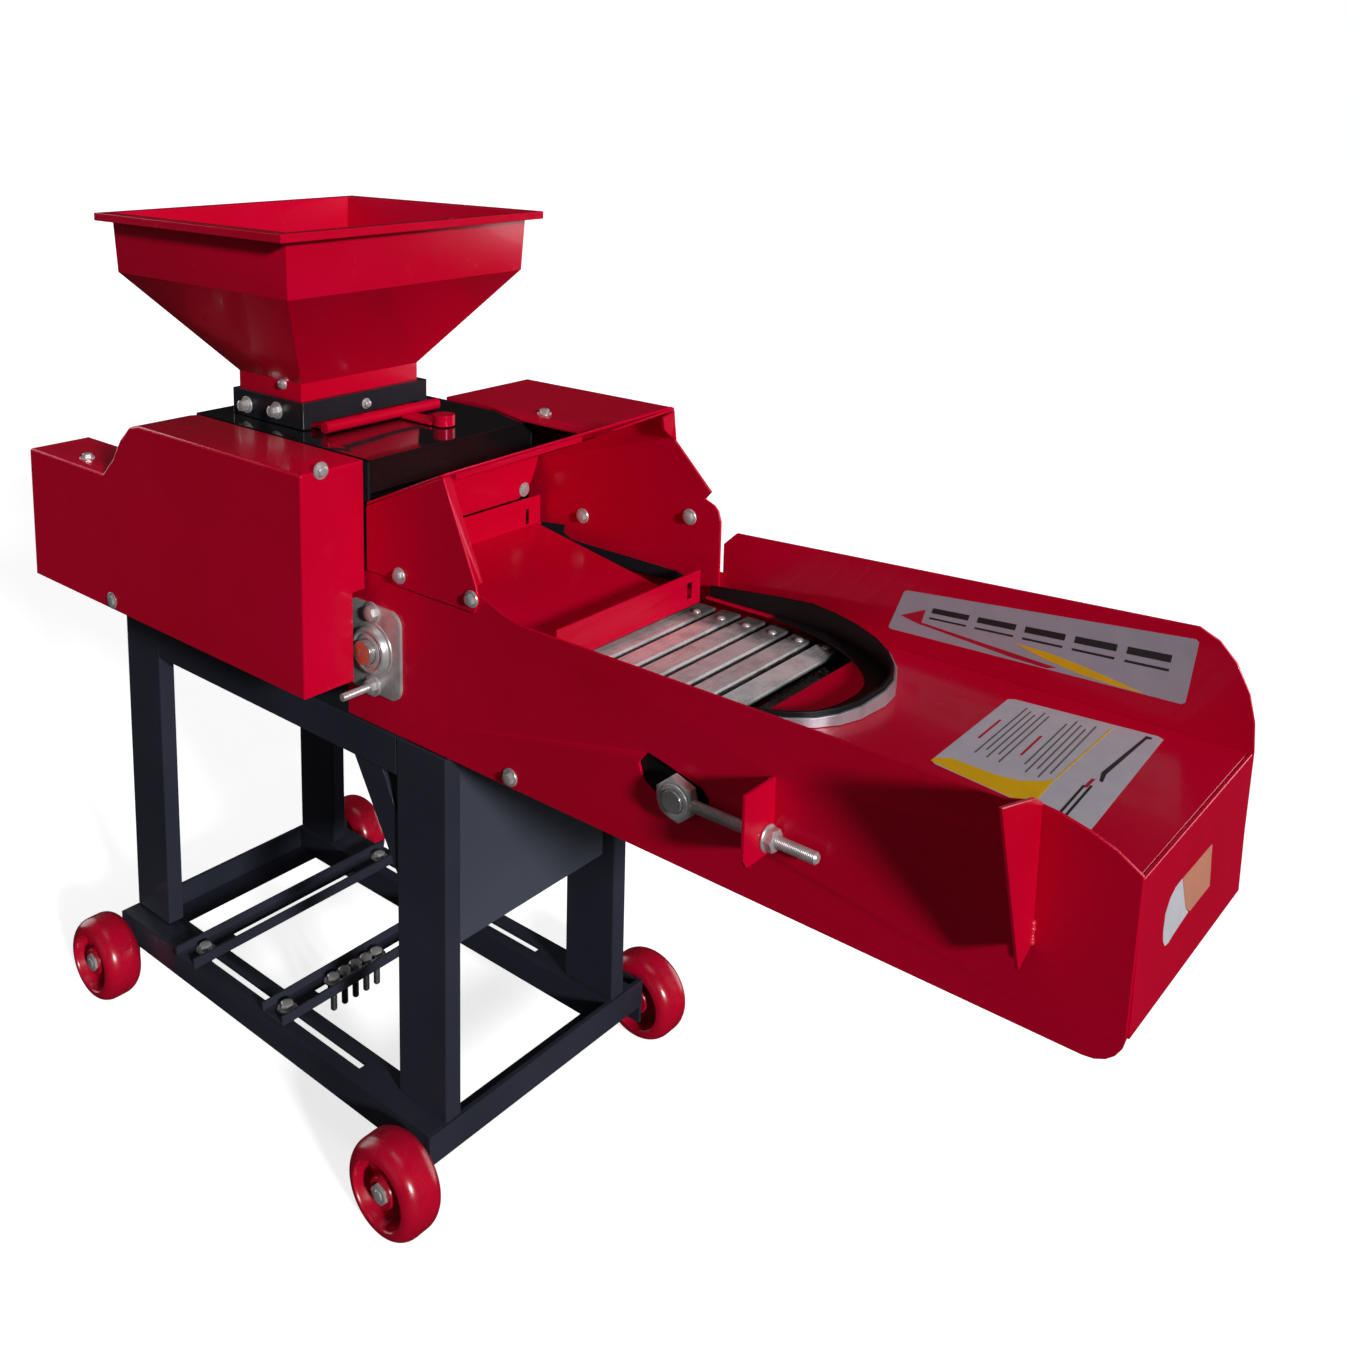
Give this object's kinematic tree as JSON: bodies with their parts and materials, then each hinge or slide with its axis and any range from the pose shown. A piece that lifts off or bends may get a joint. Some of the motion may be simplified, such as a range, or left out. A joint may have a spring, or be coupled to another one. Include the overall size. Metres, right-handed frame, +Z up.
{
  "type": "mobile chaff cutter and grain grinder",
  "caption": "Wheeled hay chopper and grain grinder: chain-slat feed trough, knife rotor in a housing, grain hopper with slide gate, belt guard, chute and frame.",
  "frame": {"origin": "on the floor, under the middle of the machine's overall box", "axes": "+X along the feed trough towards its open tail, +Y from the belt guard side to the gear cover side, +Z up"},
  "size_m": [1.2494, 0.468, 0.974],
  "materials": {
    "red_paint": "glossy powder coat, light orange peel, worn folded edges",
    "black_paint": "gloss black enamel, faint scratches",
    "frame_paint": "semi-gloss blue-black enamel on rolled angle",
    "bright_steel": "zinc plated and turned steel",
    "cast_iron": "machined iron castings and hardened knives",
    "red_plastic": "moulded polypropylene wheel"
  },
  "bodies": {
    "frame": {"axle_bolt_front_far": "bright_steel", "axle_bolt_front_near": "bright_steel", "axle_bolt_rear_far": "bright_steel", "axle_bolt_rear_near": "bright_steel", "base_frame": "frame_paint", "bearing_drive_near": "bright_steel", "bearing_rotor_far": "bright_steel", "bearing_rotor_near": "bright_steel", "belt_guard": "red_paint", "discharge_chute": "black_paint", "end_cap": "red_paint", "gear_cover": "red_paint", "guard_bolt": "bright_steel", "hood_cheek_far": "red_paint", "hood_cheek_near": "red_paint", "hood_roof": "red_paint", "hopper": "red_paint", "hopper_collar": "black_paint", "housing_rear": "black_paint", "housing_top": "black_paint", "housing_wall_far": "black_paint", "housing_wall_near": "black_paint", "leg_front_far": "frame_paint", "leg_front_near": "frame_paint", "leg_rear_far": "frame_paint", "leg_rear_near": "frame_paint", "liner_rear": "cast_iron", "liner_upper": "cast_iron", "screen": "cast_iron", "side_plate_far": "red_paint", "side_plate_near": "red_paint", "slat_chain": "bright_steel", "slat_rim_liner": "black_paint", "slat_rim_outer": "bright_steel", "tail_gusset_near": "red_paint", "takeup_nut": "bright_steel", "tray": "red_paint", "upper_rail_far": "frame_paint", "upper_rail_near": "frame_paint"},
    "rotor": {"rotor_shaft": "bright_steel", "rotor_drum": "cast_iron", "knife_1": "bright_steel", "knife_2": "bright_steel", "knife_3": "bright_steel", "rotor_pulley": "cast_iron"},
    "idler_gear": {"idler": "cast_iron"},
    "drive": {"drive_shaft": "bright_steel"},
    "feed_carriage": {"feed_plate": "red_paint"},
    "feed_roller": {"upper_roller": "cast_iron"},
    "takeup": {"takeup_eye_near": "bright_steel", "takeup_eye_far": "bright_steel"},
    "tail": {"tail_shaft": "bright_steel"},
    "gate": {"slide_gate": "red_paint", "gate_pull": "red_paint"},
    "bar_rear": {"motor_bar_rear": "frame_paint"},
    "bar_front": {"motor_bar_front": "frame_paint"},
    "wheel_a": {"wheel_rear_near": "red_plastic"},
    "wheel_b": {"wheel_rear_far": "red_plastic"},
    "wheel_c": {"wheel_front_near": "red_plastic"},
    "wheel_d": {"wheel_front_far": "red_plastic"}
  },
  "joints": [
    {"name": "rotor_spin", "type": "hinge", "parent": "frame", "child": "rotor", "pos_m": [-0.2257, -0.023, 0.6], "axis": [0, 1, 0], "continuous": true},
    {"name": "idler_spin", "type": "hinge", "parent": "frame", "child": "idler_gear", "pos_m": [-0.1537, 0.117, 0.6228], "axis": [0, 1, 0], "continuous": true},
    {"name": "drive_spin", "type": "hinge", "parent": "frame", "child": "drive", "pos_m": [-0.1017, -0.003, 0.562], "axis": [0, 1, 0], "continuous": true},
    {"name": "feed_lift", "type": "slide", "parent": "frame", "child": "feed_carriage", "axis": [0, 0, 1], "range_m": [0, 0.012]},
    {"name": "feed_roller_spin", "type": "hinge", "parent": "feed_carriage", "child": "feed_roller", "pos_m": [-0.1137, -0.003, 0.636], "axis": [0, 1, 0], "continuous": true},
    {"name": "takeup_travel", "type": "slide", "parent": "frame", "child": "takeup", "axis": [-1, 0, 0], "range_m": [0, 0.02]},
    {"name": "tail_spin", "type": "hinge", "parent": "takeup", "child": "tail", "pos_m": [0.2723, -0.003, 0.545], "axis": [0, 1, 0], "continuous": true},
    {"name": "gate_travel", "type": "slide", "parent": "frame", "child": "gate", "axis": [1, 0, 0], "range_m": [0, 0.1]},
    {"name": "bar_rear_travel", "type": "slide", "parent": "frame", "child": "bar_rear", "axis": [1, 0, 0], "range_m": [-0.01, 0.05]},
    {"name": "bar_front_travel", "type": "slide", "parent": "frame", "child": "bar_front", "axis": [1, 0, 0], "range_m": [-0.05, 0.12]},
    {"name": "wheel_rear_near_spin", "type": "hinge", "parent": "frame", "child": "wheel_a", "pos_m": [-0.5437, -0.207, 0.05], "axis": [0, 1, 0], "continuous": true},
    {"name": "wheel_rear_far_spin", "type": "hinge", "parent": "frame", "child": "wheel_b", "pos_m": [-0.5437, 0.194, 0.05], "axis": [0, 1, 0], "continuous": true},
    {"name": "wheel_front_near_spin", "type": "hinge", "parent": "frame", "child": "wheel_c", "pos_m": [-0.0167, -0.207, 0.05], "axis": [0, 1, 0], "continuous": true},
    {"name": "wheel_front_far_spin", "type": "hinge", "parent": "frame", "child": "wheel_d", "pos_m": [-0.0167, 0.194, 0.05], "axis": [0, 1, 0], "continuous": true}
  ],
  "couplings": [
    {"joint": "idler_spin", "follows": "rotor_spin", "ratio": -0.2689},
    {"joint": "drive_spin", "follows": "rotor_spin", "ratio": 0.0896},
    {"joint": "feed_roller_spin", "follows": "rotor_spin", "ratio": -0.1238},
    {"joint": "tail_spin", "follows": "rotor_spin", "ratio": 0.0453}
  ]
}
